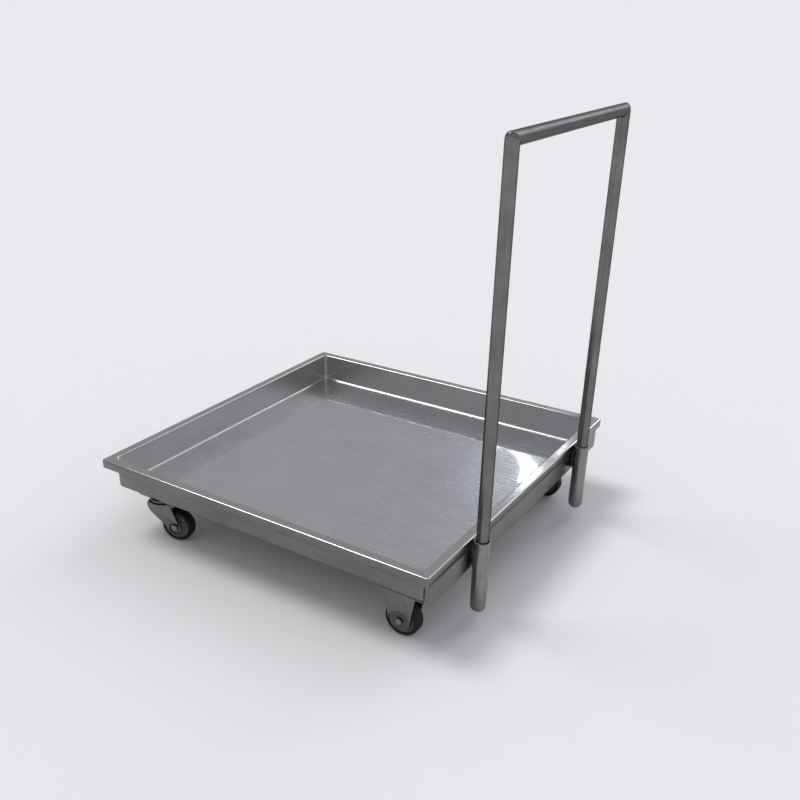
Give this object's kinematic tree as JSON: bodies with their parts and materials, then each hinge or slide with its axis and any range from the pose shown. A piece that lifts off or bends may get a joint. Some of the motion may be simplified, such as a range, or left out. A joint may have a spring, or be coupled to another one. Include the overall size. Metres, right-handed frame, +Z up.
{
  "type": "tray cart",
  "caption": "Low square sheet metal tray on casters with a lift-out push handle of round tube, for moving stacked or wet loads by hand",
  "frame": {"origin": "On the ground, at the middle of the cart's bounding box seen from above", "axes": "+X points to the handle side, +Y to the back as the picture shows it, +Z up"},
  "size_m": [0.8794, 0.845, 0.9215],
  "materials": {
    "tray_steel": "satin",
    "tube_steel": "satin",
    "caster_steel": "satin",
    "fastener_steel": "satin",
    "core_plastic": "matte",
    "bush_plastic": "matte",
    "tyre_rubber": "matte"
  },
  "bodies": {
    "tray": {"tray_pan": "tray_steel", "handle_rail": "tray_steel", "rail_cap_front": "tray_steel", "rail_cap_rear": "tray_steel", "socket_front": "tube_steel", "socket_rear": "tube_steel", "socket_cap_front": "tube_steel", "socket_cap_rear": "tube_steel", "socket_spacer_front": "tube_steel", "socket_spacer_rear": "tube_steel", "caster_studs": "fastener_steel", "caster_nuts": "fastener_steel", "caster_pad_fl": "tray_steel", "caster_pad_fr": "tray_steel", "caster_pad_rl": "tray_steel", "caster_pad_rr": "tray_steel", "swivel_plate_fl": "caster_steel", "swivel_balls_fl": "fastener_steel", "king_pin_fl": "fastener_steel", "swivel_plate_rl": "caster_steel", "swivel_balls_rl": "fastener_steel", "king_pin_rl": "fastener_steel", "rigid_fork_fr": "caster_steel", "rigid_fork_rr": "caster_steel", "axle_bolt_fr": "fastener_steel", "axle_nut_fr": "fastener_steel", "axle_sleeve_fr": "fastener_steel", "axle_bolt_rr": "fastener_steel", "axle_nut_rr": "fastener_steel", "axle_sleeve_rr": "fastener_steel"},
    "handle": {"upright_front": "tube_steel", "upright_rear": "tube_steel", "handle_bar": "tube_steel"},
    "swivel_fl": {"swivel_fork_fl": "caster_steel", "axle_bolt_fl": "fastener_steel", "axle_nut_fl": "fastener_steel", "axle_sleeve_fl": "fastener_steel"},
    "swivel_rl": {"swivel_fork_rl": "caster_steel", "axle_bolt_rl": "fastener_steel", "axle_nut_rl": "fastener_steel", "axle_sleeve_rl": "fastener_steel"},
    "wheel_fl": {"wheel_bush_fl": "bush_plastic", "wheel_core_fl": "core_plastic", "tyre_fl": "tyre_rubber"},
    "wheel_fr": {"wheel_bush_fr": "bush_plastic", "wheel_core_fr": "core_plastic", "tyre_fr": "tyre_rubber"},
    "wheel_rl": {"wheel_bush_rl": "bush_plastic", "wheel_core_rl": "core_plastic", "tyre_rl": "tyre_rubber"},
    "wheel_rr": {"wheel_bush_rr": "bush_plastic", "wheel_core_rr": "core_plastic", "tyre_rr": "tyre_rubber"}
  },
  "joints": [
    {"name": "handle_lift", "type": "slide", "parent": "tray", "child": "handle", "axis": [0, 0, 1], "range_m": [0, 0.17]},
    {"name": "swivel_fl", "type": "hinge", "parent": "tray", "child": "swivel_fl", "pos_m": [-0.31325, -0.37, 0.094], "axis": [0, 0, 1], "continuous": true},
    {"name": "wheel_fl", "type": "hinge", "parent": "swivel_fl", "child": "wheel_fl", "pos_m": [-0.27848, -0.36068, 0.0375], "axis": [-0.2588, 0.9659, 0], "continuous": true},
    {"name": "swivel_rl", "type": "hinge", "parent": "tray", "child": "swivel_rl", "pos_m": [-0.31325, 0.301, 0.094], "axis": [0, 0, 1], "continuous": true},
    {"name": "wheel_rl", "type": "hinge", "parent": "swivel_rl", "child": "wheel_rl", "pos_m": [-0.2778, 0.29475, 0.0375], "axis": [0.1736, 0.9848, 0], "continuous": true},
    {"name": "wheel_fr", "type": "hinge", "parent": "tray", "child": "wheel_fr", "pos_m": [0.32675, -0.37, 0.0375], "axis": [0, 1, 0], "continuous": true},
    {"name": "wheel_rr", "type": "hinge", "parent": "tray", "child": "wheel_rr", "pos_m": [0.32675, 0.301, 0.0375], "axis": [0, 1, 0], "continuous": true}
  ]
}
